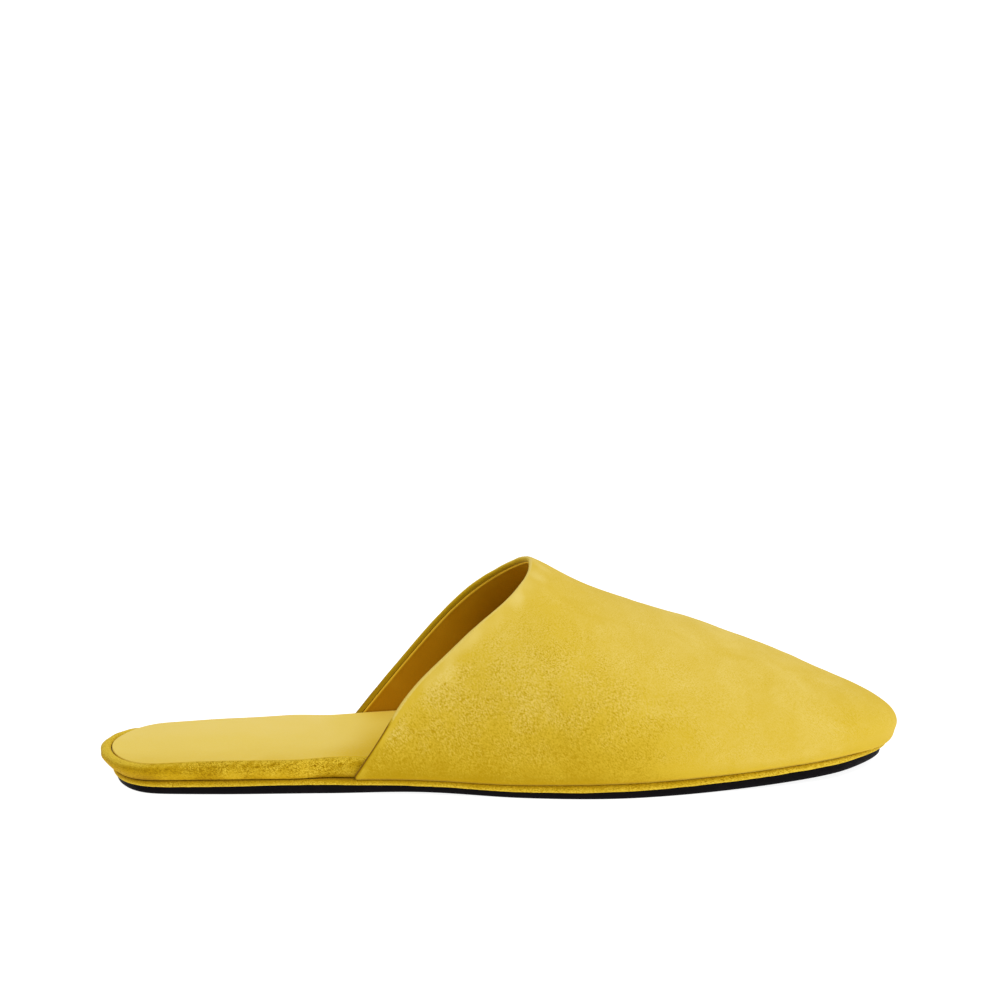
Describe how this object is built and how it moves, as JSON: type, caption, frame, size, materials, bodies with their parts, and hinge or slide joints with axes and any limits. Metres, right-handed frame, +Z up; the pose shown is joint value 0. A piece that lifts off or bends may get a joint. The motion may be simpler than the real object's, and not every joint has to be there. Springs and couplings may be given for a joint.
{
  "type": "mule",
  "caption": "Flat slip-on mule with a closed rounded toe, an open heel, a thin rim round the sole and a leather-covered footbed.",
  "frame": {"origin": "on the floor under the middle of the shoe's box", "axes": "+X towards the toe, +Y towards the inner (big toe) side, +Z up"},
  "size_m": [0.2876, 0.0928, 0.0764],
  "materials": {
    "suede": "yellow suede with a short nap",
    "leather": "smooth pale yellow lining leather",
    "board": "padded insole board, hidden",
    "rubber": "black, semi-matt"
  },
  "bodies": {
    "root": {"outsole": "rubber", "rim": "suede", "insole": "board", "heel_wrap": "suede", "sock": "leather", "upper": "suede"}
  },
  "joints": []
}
